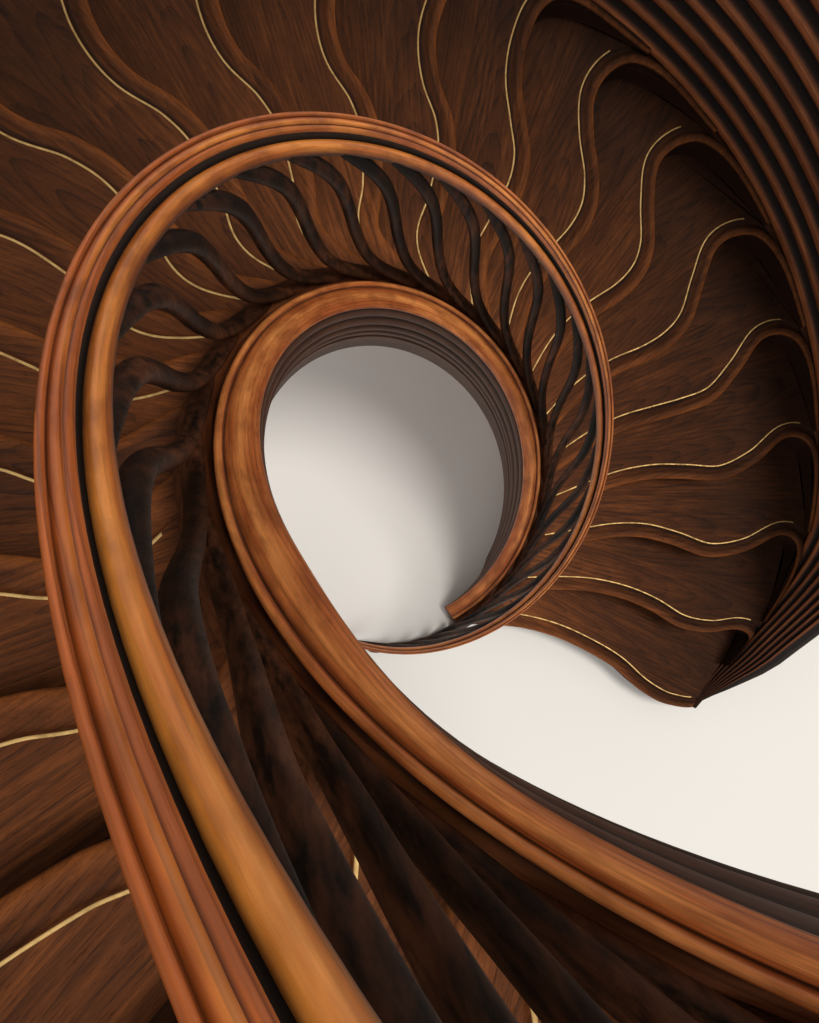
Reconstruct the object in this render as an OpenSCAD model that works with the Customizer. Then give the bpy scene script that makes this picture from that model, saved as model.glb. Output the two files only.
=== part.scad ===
// Spiral staircase: one storey flight of carved oak around an open well.
// Millimetres, +Z up. The flight climbs counter-clockwise seen from above.
// The origin lies on the floor, under the foot of the inner string.

/* [Storey] */
// Height of one riser
riser_h = 170; // [160:1:185]
// Turn of one tread about the axis of the well, in degrees
tread_turn = 13.4; // [12.8:0.1:13.6]
// Thickness of a tread board
tread_t = 40; // [32:1:50]
// Thickness of a riser board
riser_t = 25; // [18:1:32]
// Distance that a nosing stands in front of its riser
nosing_lip = 22; // [12:1:30]

/* [Brass inlay] */
// Width of the brass strip in a tread
brass_w = 6; // [4:0.5:10]
// Depth of the groove for the brass strip
brass_t = 4; // [2:0.5:8]
// Distance from the nosing edge to the brass strip
brass_back = 62; // [40:1:80]

/* [Inner string] */
// Radius of the well face of the inner string
well_r = 500; // [460:1:520]
// Width of the rounded band on top of the string
band_w = 76; // [60:1:90]
// Width of the ledge outside the band, on which the balusters stand
ledge_w = 56; // [46:1:64]
// Height of the band's top over the line of the nosings
band_rise = 252; // [230:1:300]
// Height of the ledge over the line of the nosings
ledge_rise = 195; // [180:1:215]
// Depth of the strings below the line of the nosings
string_drop = 300; // [290:1:360]

/* [Handrail] */
// Distance of the handrail's middle outside the middle of the ledge
rail_out_by = 5; // [0:1:16]
// Height of the handrail's top over the line of the nosings
rail_rise = 1006; // [960:1:1040]
// Width of the main handrail member
rail_w = 24; // [22:1:34]
// Height of the main handrail member
rail_h = 52; // [44:1:60]
// Diameter of the lower handrail member
lower_d = 27; // [24:1:32]
// Height of the groove between the two members
rail_gap = 17; // [12:1:20]

/* [Balusters] */
// Turn between two balusters, in degrees
stem_gap = 12.15; // [10:0.05:14]
// Thickness of a baluster's stem, measured across the stair
stem_w = 30; // [26:1:40]
// Thickness of a baluster's stem, measured along the stair
stem_l = 38; // [32:1:56]
// Turn between a baluster's foot and its head, in degrees
stem_turn = 26; // [16:0.5:28]

/* [Outer wall] */
// Radius of the wall's inner face, where the treads end
wall_r = 1980; // [1900:5:2100]
// Height of one rib
rib_h = 106; // [90:1:110]
// Thickness of a rib
rib_w = 100; // [80:1:120]
// Height of one rib where the stack is gathered at its foot
foot_rib_h = 18; // [14:1:20]
// Distance that the foot of the stack is drawn in towards the well
foot_dent = 190; // [120:5:220]
// Turn over which the ribs open from the foot, in degrees
foot_turn = 34; // [26:1:40]

/* [Hidden] */
TREADS = [
    "tread_01", "tread_02", "tread_03", "tread_04", "tread_05",
    "tread_06", "tread_07", "tread_08", "tread_09", "tread_10",
    "tread_11", "tread_12", "tread_13", "tread_14", "tread_15",
    "tread_16", "tread_17", "tread_18", "tread_19", "tread_20",
    "tread_21", "tread_22", "tread_23", "tread_24", "tread_25"];
RIBS = [
    "rib_1", "rib_2", "rib_3", "rib_4",
    "rib_5", "rib_6", "rib_7", "rib_8"];

// Slope of every rail: millimetres of rise for one degree of turn
pitch = riser_h / tread_turn;
tread_n = 25;
riser_n = tread_n + 1;
// Width of the inner string, and the radius where the treads begin
ledge_r = well_r + band_w + ledge_w;
// Middle of the ledge, where the balusters stand, and the handrail's middle over it
stem_r = well_r + band_w + ledge_w / 2;
rail_r = stem_r + rail_out_by;
// The frame's origin lies under the middle of the string's foot
axis_x = -(well_r + ledge_r) / 2;
// The flight ends just behind its last riser, on a plumb plane
end_a = riser_n * tread_turn + 2;
mid_a = 13 * tread_turn;
// Play between pieces that lie against each other
play = 0.3;
tread_in = ledge_r + play;
tread_out = wall_r - play;
// Foot of the outer wall
foot_a = 8;
// Middle of the walking width
mid_r = (ledge_r + wall_r) / 2;
// One ring of a swept piece for each half tread
ring_a = tread_turn / 2;
rail_ring_a = 8;
rib_ring_a = 8.5;
// Distance that each gathered rib stands outside the one below it
foot_fan = 13;
// Depth of the flutes in the well face of the string
flute_d = 12;
// Outward share that keeps the flats of a swept inner face off its circle
flat_k = 1 / cos(ring_a / 2);
soffit_t = 30;
soffit_drop = 244;
// Near the head of the flight the string's well side draws back under the band, and
// all along its lower part the well face leans away from the well
draw_a = 250;
draw_turn = 35;
draw_back = 33;
lean_foot = 40;
lean_head = 40;
lean_top = 35;
lean_h = 300;
// Where the inlay ends short of the string and of the wall
brass_end = 14;
brass_stop = 110;

function lerp(a, b, t) = a + (b - a) * t;
function clamp(t) = min(1, max(0, t));
function smooth(t) = let (u = clamp(t)) u * u * (3 - 2 * u);
function at(r, a, z) = [axis_x + r * cos(a), r * sin(a), z];
// How far the outer wall has opened from its foot: 0 at the foot, 1 along the run
function opened(a) = smooth((a - foot_a) / foot_turn);
function dent(a) = foot_dent * (1 - opened(a));
// Draws the outer part of a tread in at the foot, as far as the wall is drawn in
function warp(r, a) = r - dent(a) * clamp((r - mid_r) / (wall_r - mid_r));
function steps(a0, a1, da) = let (n = max(1, ceil((a1 - a0) / da - 0.01)))
    [for (i = [0:n]) lerp(a0, a1, i / n)];

// Nosing line from the well outwards: share of the tread's width, and turn from the
// tread's own angle in degrees
nose_first = [
    [-0.044, -32], [0.029, -20.5], [0.103, -14], [0.176, -10], [0.279, -7.1], [0.404, -5.8],
    [0.537, -5.6], [0.691, -6.5], [0.824, -6.4], [0.912, -5.6], [0.971, -4.8], [1.007, -4.1],
    [1.03, -3.9]];
nose_third = [
    [-0.044, -17], [0.029, -12], [0.118, -8.6], [0.206, -6.1], [0.294, -4.4], [0.397, -3.9],
    [0.507, -5.0], [0.64, -6.6], [0.779, -5.1], [0.9, -2.2], [0.968, -2.8], [0.99, -6],
    [0.992, -15]];
nose_upper = [
    [-0.044, -15.5], [0.029, -11], [0.118, -8], [0.206, -6.7], [0.309, -7.2], [0.419, -8.7],
    [0.515, -8.5], [0.603, -6.4], [0.706, -2.2], [0.82, 0.7], [0.93, -0.4], [0.98, -4],
    [0.992, -15]];
nose_high = [
    [-0.044, -15.5], [0.029, -10.5], [0.105, -5.5], [0.165, -4], [0.245, -6.3], [0.37, -7.7],
    [0.47, -6.9], [0.575, -4.7], [0.69, -4.9], [0.82, -7.2], [0.93, -8.4], [0.98, -11.5],
    [0.992, -20]];
function blend(p, q, t) = [for (i = [0:len(p) - 1]) lerp(p[i], q[i], t)];
function nose_ctrl(n) = n < 3 ? blend(nose_first, nose_third, (n - 1) / 2)
    : n < 7 ? blend(nose_third, nose_upper, smooth((n - 3) / 4))
    : blend(nose_upper, nose_high, smooth((n - 7) / 4));
// Catmull-Rom curve through control points
function cr(p0, p1, p2, p3, t) = 0.5 * (2 * p1 + (p2 - p0) * t
    + (2 * p0 - 5 * p1 + 4 * p2 - p3) * t * t + (3 * p1 - p0 - 3 * p2 + p3) * t * t * t);
function curve(c, m) = let (e = len(c) - 1) concat(
    [for (i = [0:e - 1], j = [0:m - 1])
        cr(c[max(0, i - 1)], c[i], c[i + 1], c[min(e, i + 2)], j / m)],
    [c[e]]);
// The nosing line of tread n as plane points about the well's axis
function nose_line(n) = [for (q = curve(nose_ctrl(n), 3))
    let (a = q[1] + n * tread_turn) lerp(ledge_r, wall_r, q[0]) * [cos(a), sin(a)]];
// A line moved back by d, square to its run, then as radius and angle
function moved(line, d, n) = let (e = len(line) - 1) [for (i = [0:e])
    let (t = line[min(e, i + 1)] - line[max(0, i - 1)],
        u = [-t[1], t[0]] / norm(t),
        q = line[i] + d * u,
        a0 = atan2(q[1], q[0]),
        a = a0 + 360 * round((n * tread_turn - a0) / 360))
    [norm(q), a]];
// The stretch of a polar line between two radii, with its ends on them
function cut_at(p, q, r) = lerp(p, q, (r - p[0]) / (q[0] - p[0]));
function between(line, r0, r1) = let (
    e = len(line) - 1,
    i0 = max([for (i = [0:e - 1]) if (line[i][0] < r0) i]),
    outside = [for (i = [i0 + 1:e]) if (line[i][0] > r1) i],
    i1 = len(outside) > 0 ? outside[0] : e + 1)
    concat(
        [cut_at(line[i0], line[i0 + 1], r0)],
        [for (i = [i0 + 1:i1 - 1]) line[i]],
        i1 <= e ? [cut_at(line[i1 - 1], line[i1], r1)] : [[r1, line[e][1]]]);
function nose_back(n, d) = between(moved(nose_line(n), d, n), tread_in, tread_out);
function plan(line) = [for (q = line) let (r = warp(q[0], q[1]))
    [axis_x + r * cos(q[1]), r * sin(q[1])]];
function arc_pts(r, a0, a1) = let (n = max(1, ceil(abs(a1 - a0) / 3)))
    [for (i = [1:1:n - 1]) [r, lerp(a0, a1, i / n)]];
// Outline between two lines that both run from the well to the wall
function strip(front, back) = let (fe = front[len(front) - 1], be = back[len(back) - 1])
    concat(front, arc_pts(tread_out, fe[1], be[1]),
        [for (i = [len(back) - 1:-1:0]) back[i]],
        arc_pts(tread_in, back[0][1], front[0][1]));

// Closed solid through rings of equal length. Caps are strips between the two
// sides of a ring: its first na points climb one side, the rest come down the other
module loft(rings, na) {
    m = len(rings[0]);
    e = len(rings) - 1;
    nb = m - na;
    function split(k) = floor((k + 0.5) * (nb - 1) / (na - 1));
    function b_at(j) = na + nb - 1 - j;
    cap = concat(
        [for (k = [0:na - 2]) [k, k + 1, b_at(split(k))]],
        [for (j = [0:nb - 2])
            [b_at(j + 1), b_at(j), len([for (k = [0:na - 2]) if (split(k) <= j) 1])]]);
    polyhedron(
        points = [for (ring = rings) each ring],
        faces = concat(
            cap,
            [for (f = cap) [f[2] + e * m, f[1] + e * m, f[0] + e * m]],
            [for (j = [0:e - 1], i = [0:m - 1]) each let (
                k = (i + 1) % m,
                a = j * m + k, b = j * m + i, c = b + m, d = a + m)
                [[a, b, c], [a, c, d]]]),
        convexity = 10);
}

module tread(n) {
    front = nose_back(n, 0);
    back = nose_back(n + 1, nosing_lip + riser_t);
    color("sienna")
        difference() {
            translate([0, 0, n * riser_h - tread_t])
                linear_extrude(tread_t) polygon(plan(strip(front, back)));
            translate([0, 0, n * riser_h - brass_t])
                linear_extrude(brass_t + 1) polygon(inlay_plan(n, 0));
        }
}

// The inlay runs from near the string to the nosing's crest
function inlay_line(n, d) = [for (q = moved(nose_line(n), d, n))
    if (q[0] > ledge_r + brass_end && q[0] < wall_r - brass_stop) q];
function inlay_plan(n, slack) = let (
    front = inlay_line(n, brass_back + slack),
    back = inlay_line(n, brass_back + brass_w - slack),
    e = min(len(front), len(back)) - 1)
    plan(concat([for (i = [0:e]) front[i]], [for (i = [e:-1:0]) back[i]]));

module brass_inlays() {
    color("gold")
        for (n = [1:tread_n])
            translate([0, 0, n * riser_h - brass_t])
                linear_extrude(brass_t) polygon(inlay_plan(n, 0));
}

module risers() {
    color("saddlebrown")
        for (n = [1:riser_n])
            translate([0, 0, (n - 1) * riser_h])
                linear_extrude(riser_h - tread_t)
                    polygon(plan(strip(
                        nose_back(n, nosing_lip), nose_back(n, nosing_lip + riser_t))));
}

// Inner string: the well face is fluted, and its lower part gathers at the floor
string_in = let (w = well_r, f = flute_d) [
    [w, -string_drop], [w, -92], [w + f, -80], [w + 1, -66],
    [w, -6], [w + f, 8], [w + 1, 22], [w, 80], [w + f, 94], [w + 1, 108],
    [w, 164], [w + f, 178], [w + 1, 194],
    [w + 4, 228], [w + f + 2, band_rise - 8], [w + 30, band_rise]];
string_out = let (w = well_r + band_w, o = ledge_r) [
    [o, -string_drop], [o, -60], [o, ledge_rise],
    [w + 2, ledge_rise], [w, 218], [w - 8, band_rise - 10], [w - 26, band_rise]];
function gather(v, top, a) = let (
    full = top + string_drop, here = min(full, pitch * a + top))
    pitch * a + top - (top - v) * here / full;
// Radius of a point of the section once the well side is drawn back and leans
function drawn(r, v, a) = let (
    head = smooth((a - draw_a) / draw_turn),
    edge = band_w - 12,
    share = clamp((well_r + edge - r) / edge),
    lean = clamp((lean_top - v) / lean_h) * (lean_foot + lean_head * head))
    r + draw_back * head * share + lean * clamp((well_r + 40 - r) / 20);
function string_at(q, a) = at(drawn(q[0], q[1], a), a, gather(q[1], band_rise, a));
function string_ring(a) = concat(
    [for (q = string_in) string_at(q, a)],
    [for (i = [len(string_out) - 1:-1:0]) string_at(string_out[i], a)]);
string_a0 = -tread_turn * 1.1;
module inner_string(a0, a1) {
    color("peru")
        loft([for (a = steps(a0, a1, ring_a)) string_ring(a)], len(string_in));
}

// Outer string: a plain band that carries the treads and the stack of ribs
function wall_in(a) = warp(wall_r, a);
function rib_base(a) = lerp(24, pitch * a + 20, opened(a));
function outer_ring(a) = let (
    r0 = wall_in(a) * flat_k, r1 = wall_in(a) + rib_w * 0.6,
    z0 = max(0, pitch * a - string_drop), z1 = rib_base(a))
    [at(r0, a, z0), at(r0, a, z1), at(r1, a, z1), at(r1, a, z0)];
module outer_string(a0, a1) {
    color("saddlebrown")
        loft([for (a = steps(a0, a1, ring_a)) outer_ring(a)], 2);
}

// Rib k of the outer wall, a bowed bar that lies flat on the one below
function rib_ring(k, a) = let (
    g = opened(a),
    h = lerp(foot_rib_h, rib_h, g),
    w = rib_w / 2 * lerp(0.45, 1, g),
    c = wall_in(a) / cos(rib_ring_a / 2) + rib_w / 2 + (k - 1) * foot_fan * (1 - g),
    z = rib_base(a) + (k - 1) * h)
    [for (q = [[-0.45, 0], [-1, 0.28], [-1, 0.72], [-0.45, 1],
            [0.45, 1], [1, 0.72], [1, 0.28], [0.45, 0]])
        at(c + q[0] * w, a, z + q[1] * h)];
module rib(k) {
    color("saddlebrown")
        loft([for (a = steps(foot_a, end_a, rib_ring_a)) rib_ring(k, a)], 4);
}

// Soffit: a helical board under the treads, level with the floor where it starts
function soffit_ring(a) = let (
    z1 = max(soffit_t, pitch * a - soffit_drop), z0 = max(0, z1 - soffit_t),
    r0 = ledge_r + play, r1 = wall_in(a) - play)
    [at(r0, a, z0), at(r0, a, z1), at(r1, a, z1), at(r1, a, z0)];
module soffit(a0, a1) {
    color("saddlebrown")
        loft([for (a = steps(a0, a1, ring_a)) soffit_ring(a)], 2);
}

// Handrail: a tall member with three soft ridges over a smaller round one
// The lower member stands nearer to the well than the main one
lower_r = rail_r - 9;
lower_top = rail_rise - rail_h - rail_gap;
rail_in = let (w = rail_w / 2, t = rail_rise, h = rail_h, c = rail_r) [
    [lower_r - 1, lower_top + play], [c - w * 0.75, t - h], [c - w, t - h * 0.7],
    [c - w, t - h * 0.45], [c - w * 0.75, t - h * 0.28], [c - w * 0.7, t - h * 0.1],
    [c - w * 0.35, t]];
rail_out = let (w = rail_w / 2, t = rail_rise, h = rail_h, c = rail_r) [
    [lower_r + 6, lower_top + play], [c + w * 0.5, t - h], [c + w * 0.95, t - h * 0.6],
    [c + w, t - h * 0.15], [c + w * 0.5, t]];
function closed(inside, outside) = concat(
    inside, [for (i = [len(outside) - 1:-1:0]) outside[i]]);
function rail_rings(section) = let (
    low = min([for (q = section) q[1]]),
    a1 = -low / pitch + 1.5)
    concat(
        [[for (q = section) at(q[0], -q[1] / pitch, 0)]],
        [for (a = steps(a1, end_a, rail_ring_a)) [for (q = section) at(q[0], a, q[1] + pitch * a)]]);
module handrail() {
    color("chocolate")
        loft(rail_rings(closed(rail_in, rail_out)), len(rail_in));
}

lower_section = let (d = lower_d / 2, c = lower_r, t = lower_top) [
    [c - d * 0.5, t - lower_d], [c - d, t - d * 1.4], [c - d, t - d * 0.6],
    [c - d * 0.5, t], [c + d * 0.5, t], [c + d, t - d * 0.6], [c + d, t - d * 1.4],
    [c + d * 0.5, t - lower_d]];
module lower_rail() {
    color("chocolate")
        loft(rail_rings(lower_section), 4);
}

// Baluster: an S that leaves the ledge and meets the rail along the run of the stair.
// Below the string's foot the balusters stand on the floor
stem_rings = 10;
stem_sides = 6;
// Half the length of a foot or a head along the run, just short of its neighbour's
stem_foot = 0.485 * stem_gap * stem_r * PI / 180;
// Share of the turn at share t of the height: steep in the middle, flat at both ends
function sway(t) = let (x = 2 * t - 1) 0.5 + 0.155 * x + 0.345 * x * x * x;
head_v = lower_top - lower_d - play;
function foot_z(a) = a < string_a0 ? 0 : gather(ledge_rise, band_rise, a) + play;
function stem_ring(a, t) = let (
    c = a + stem_turn * sway(t),
    r = lerp(stem_r, lower_r, smooth(t)),
    w = stem_w / 2 * lerp(1, 0.62, pow(max(0, 2 * t - 1), 3)),
    l = lerp(stem_l / 2, stem_foot, pow(abs(2 * t - 1), 5)))
    [for (i = [0:stem_sides - 1]) let (f = i * 360 / stem_sides,
        b = c + l * sin(f) / r * 180 / PI)
        at(r + w * cos(f), b, lerp(foot_z(b), head_v + pitch * b, t))];
module balusters(i0, i1) {
    color("#2a1a12")
        for (i = [i0:i1])
            loft([for (j = [0:stem_rings - 1])
                stem_ring(string_a0 + (i + 0.5) * stem_gap, j / (stem_rings - 1))], 3);
}
// The lowest baluster still has room between the floor and the rail
stem_first = ceil((-head_v / pitch - string_a0) / stem_gap + 0.2);
stem_last = floor((end_a - stem_turn - 2 - string_a0) / stem_gap - 1);
stem_mid = floor((mid_a - string_a0) / stem_gap);

tread(1);
tread(2);
tread(3);
tread(4);
tread(5);
tread(6);
tread(7);
tread(8);
tread(9);
tread(10);
tread(11);
tread(12);
tread(13);
tread(14);
tread(15);
tread(16);
tread(17);
tread(18);
tread(19);
tread(20);
tread(21);
tread(22);
tread(23);
tread(24);
tread(25);
risers();
brass_inlays();
inner_string(string_a0, mid_a);  // inner_string_low
inner_string(mid_a, end_a);  // inner_string_high
outer_string(foot_a, mid_a);  // outer_string_low
outer_string(mid_a, end_a);  // outer_string_high
soffit(soffit_drop / pitch, mid_a);  // soffit_low
soffit(mid_a, end_a);  // soffit_high
rib(1);
rib(2);
rib(3);
rib(4);
rib(5);
rib(6);
rib(7);
rib(8);
handrail();
lower_rail();
balusters(stem_first, stem_mid);  // balusters_low
balusters(stem_mid + 1, stem_last);  // balusters_high
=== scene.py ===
# %% [markdown]
# # A carved oak spiral stair
# One storey flight climbs around an open well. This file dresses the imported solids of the
# stair: it draws rails, strings, balusters, treads and the ribbed outer wall as a joiner
# would see them, and gives each its oak or brass. Lengths are metres, angles are degrees
# about the axis of the well, and one degree of turn always climbs the same height.

# %% Load the frame
import math

import bmesh
import bpy
import numpy as np
from mathutils import Matrix, Vector


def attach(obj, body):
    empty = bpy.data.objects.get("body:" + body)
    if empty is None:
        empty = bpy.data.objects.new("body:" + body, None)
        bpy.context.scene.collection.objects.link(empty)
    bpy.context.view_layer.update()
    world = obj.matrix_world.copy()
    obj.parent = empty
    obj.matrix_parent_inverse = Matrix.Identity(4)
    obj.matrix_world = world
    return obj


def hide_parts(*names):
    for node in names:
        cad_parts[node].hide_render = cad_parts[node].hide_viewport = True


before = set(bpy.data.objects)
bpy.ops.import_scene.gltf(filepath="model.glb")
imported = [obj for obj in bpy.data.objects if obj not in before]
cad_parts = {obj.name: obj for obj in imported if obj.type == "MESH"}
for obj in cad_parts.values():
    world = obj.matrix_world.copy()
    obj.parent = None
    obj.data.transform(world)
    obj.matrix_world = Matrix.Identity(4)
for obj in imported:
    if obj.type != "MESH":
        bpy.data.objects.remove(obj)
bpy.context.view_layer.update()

print("solids:", len(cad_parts))

# %% [markdown]
# The camera stands in the well near the top of the flight and looks almost straight down.
# Its place and lens were found by fitting the helix lines of rail and string to the
# picture, so every radius and height below can be compared with it. A wide lens this close
# makes the near rail large and the lowest treads small.

# %% Camera
AXIS_X = -0.566
CAMERA_AT = (AXIS_X - 0.133, -0.504, 4.582)
CAMERA_TURN = Vector((0.12, -0.084, 0.70))
LENS_MM = 31.677
FILM_MM = 36.0

camera_data = bpy.data.cameras.new("camera")
camera_data.lens = LENS_MM
camera_data.sensor_width = FILM_MM
camera_data.clip_start = 0.02
camera = bpy.data.objects.new("camera", camera_data)
camera.matrix_world = (
    Matrix.Translation(CAMERA_AT)
    @ Matrix.Rotation(CAMERA_TURN.length, 4, CAMERA_TURN.normalized()))
bpy.context.scene.collection.objects.link(camera)
bpy.context.scene.camera = camera
print("camera at", [round(c, 3) for c in CAMERA_AT])

# %% [markdown]
# All the sizes that the picture gave are written once, with the same values as the solids
# have. Everything that climbs uses `climb`, the height gained over a turn.

# %% Sizes of the stair
RISER = 0.170
TREAD_TURN = 13.4
TREADS = 25
TREAD_THICK = 0.040
RISER_THICK = 0.025
NOSING_LIP = 0.022
WELL_R = 0.500
BAND_W = 0.076
LEDGE_W = 0.056
LEDGE_R = WELL_R + BAND_W + LEDGE_W
BAND_RISE = 0.252
LEDGE_RISE = 0.195
STRING_DROP = 0.300
RAIL_R = 0.609
RAIL_RISE = 1.006
WALL_R = 1.980
RIB_H = 0.106
RIB_W = 0.100
RIBS = 8
FOOT_RIB_H = 0.018  # a rib where the wall is gathered at its foot
FOOT_DENT = 0.190  # how far the foot of the wall is drawn in
FOOT_OPENS = 34.0  # degrees over which the wall opens from its foot
WALL_START = 8.0
PLAY = 0.0003  # clearance between two pieces that meet
END_TURN = (TREADS + 1) * TREAD_TURN + 2
STRING_START = -TREAD_TURN * 1.1


def climb(turn):
    """Height gained over a turn in degrees."""
    return RISER / TREAD_TURN * turn


def soft_step(t):
    """Goes from 0 to 1 with a soft start and a soft end."""
    t = np.clip(t, 0, 1)
    return t * t * (3 - 2 * t)


def mix(a, b, t):
    return a + (b - a) * t


def fade(distance, reach):
    """1 where the distance is nothing, 0 from `reach` on."""
    return np.clip(1 - distance / reach, 0, 1)


print("climb over the flight:", round(climb(END_TURN), 3), "m")

# %% [markdown]
# Light comes from broad soft lamps over the well, as in a stair hall with a bright
# ceiling. The floor is a plain pale stage, and the world lights everything a little.

# %% Floor and light
FLOOR_COLOUR = (0.80, 0.79, 0.77, 1)
FLOOR_SIZE = 24
FLOOR_DROP = 0.002
HALL_COLOUR = (1.0, 0.97, 0.92, 1)
HALL_STRENGTH = 0.42


def deselect():
    """Leaves edit mode with nothing selected, because an operator acts on all that is."""
    if bpy.context.mode != "OBJECT":
        bpy.ops.object.mode_set(mode="OBJECT")
    bpy.ops.object.select_all(action="DESELECT")


deselect()
bpy.ops.mesh.primitive_plane_add(size=FLOOR_SIZE, location=(AXIS_X, 0, -FLOOR_DROP))
floor = bpy.context.active_object
floor.name = "floor_stage"
floor_finish = bpy.data.materials.new("pale_floor")
floor_finish.use_nodes = True
floor_shader = floor_finish.node_tree.nodes["Principled BSDF"]
floor_shader.inputs["Base Color"].default_value = FLOOR_COLOUR
floor_shader.inputs["Roughness"].default_value = 0.8
floor.data.materials.append(floor_finish)

world = bpy.data.worlds.new("hall")
bpy.context.scene.world = world
world.use_nodes = True
background = world.node_tree.nodes["Background"]
background.inputs["Color"].default_value = HALL_COLOUR
background.inputs["Strength"].default_value = HALL_STRENGTH


def sun(name, come_from, strength, softness, colour):
    """A lamp that shines from the given direction. Its width in degrees softens the shadows."""
    data = bpy.data.lights.new(name, "SUN")
    data.energy = strength
    data.angle = math.radians(softness)
    data.color = colour
    lit = bpy.data.objects.new(name, data)
    lit.rotation_euler = Vector(come_from).to_track_quat("Z", "Y").to_euler()
    bpy.context.scene.collection.objects.link(lit)


sun("key", (0.25, 0.15, 1.0), 1.8, 18, (1.0, 0.95, 0.88))
sun("fill", (0.1, -0.9, 1.0), 0.75, 40, (1.0, 0.96, 0.91))
bpy.context.scene.view_settings.view_transform = "Standard"
print("lamps:", [lamp.name for lamp in bpy.data.lights])

# %% [markdown]
# Finishes are built from shader nodes. A `Value` stands for the output of a node, so that
# shader maths can be written as plain expressions, and a `Finish` makes the nodes.

# %% A small language for finishes


class Value:
    """One output of a node. Adding, multiplying and so on makes the Math node for it."""

    def __init__(self, finish, socket):
        self.finish, self.socket = finish, socket

    def __add__(self, other):
        return self.finish.math("ADD", self, other)

    def __sub__(self, other):
        return self.finish.math("SUBTRACT", self, other)

    def __rsub__(self, other):
        return self.finish.math("SUBTRACT", other, self)

    def __mul__(self, other):
        return self.finish.math("MULTIPLY", self, other)

    def __pow__(self, other):
        return self.finish.math("POWER", self, other)

    __radd__ = __add__
    __rmul__ = __mul__


class Finish:
    """A material that is written as expressions on its nodes' values."""

    def __init__(self, name):
        self.material = bpy.data.materials.new(name)
        self.material.use_nodes = True
        self.nodes = self.material.node_tree.nodes
        self.links = self.material.node_tree.links
        self.shader = self.nodes["Principled BSDF"]

    def node(self, kind, settings, *inputs, out=0, **named):
        """Makes a node. Settings come first, because they decide which sockets it has."""
        made = self.nodes.new(kind)
        for key, value in settings.items():
            setattr(made, key, value)
        sockets = [s for s in made.inputs if s.enabled]
        pairs = list(zip(sockets, inputs))
        pairs += [(next(s for s in sockets if s.name == key.replace("_", " ")), value)
                  for key, value in named.items()]
        for socket, value in pairs:
            self.put(socket, value)
        outputs = [s for s in made.outputs if s.enabled]
        return Value(self, outputs[out] if isinstance(out, int) else made.outputs[out])

    def put(self, socket, value):
        if isinstance(value, Value):
            self.links.new(value.socket, socket)
        else:
            socket.default_value = value

    def noise(self, vector, scale, detail=2.0, rough=0.5):
        return self.node("ShaderNodeTexNoise", {}, Vector=vector, Scale=scale,
                         Detail=detail, Roughness=rough)

    def stretch(self, vector, scale, shift=(0, 0, 0)):
        return self.node("ShaderNodeMapping", {}, Vector=vector, Scale=scale, Location=shift)

    def math(self, operation, *values):
        return self.node("ShaderNodeMath", {"operation": operation}, *values)

    def blend(self, factor, a, b):
        return self.node("ShaderNodeMix", {"data_type": "RGBA"}, factor, a, b)

    def ramp(self, value, low, high):
        """0 at `low` and 1 at `high`, whichever of them is the larger."""
        return self.node("ShaderNodeMapRange", {}, value, low, high, 0.0, 1.0)

    def set(self, **inputs):
        for key, value in inputs.items():
            self.put(self.shader.inputs[key.replace("_", " ")], value)


def srgb(red, green, blue):
    """A colour as seen on screen, 0 to 255, as the linear colour that a shader wants."""
    return tuple(
        c / 12.92 if c <= 0.04045 else ((c + 0.055) / 1.055) ** 2.4
        for c in (red / 255, green / 255, blue / 255)) + (1.0,)


# %% [markdown]
# Oak shows growth rings that a saw cuts into long arches, fine fibres along the board and
# short dark pores. A board lies along its own `grain` coordinates, in metres: along, across
# and through the wood. The rings are circles about a heart that tilts through the board,
# which is how the arches come about. `board` gives each piece its own tree. `stain`
# darkens stains and also paints shade into hollows, gaps and under edges, and
# `wear` lightens what hands and shoes polish and also paints highlights on
# crests and rims. Wide pieces are glued up from planks. Treads also get painted shade towards
# the wall and the string.

# %% Oak finishes
HEART = 0.07
ONE_BOARD = 9.0
STRING_SHADE = (LEDGE_R + 0.07, LEDGE_R + 0.01)
WALL_SHADE_FROM = 0.74


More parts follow.
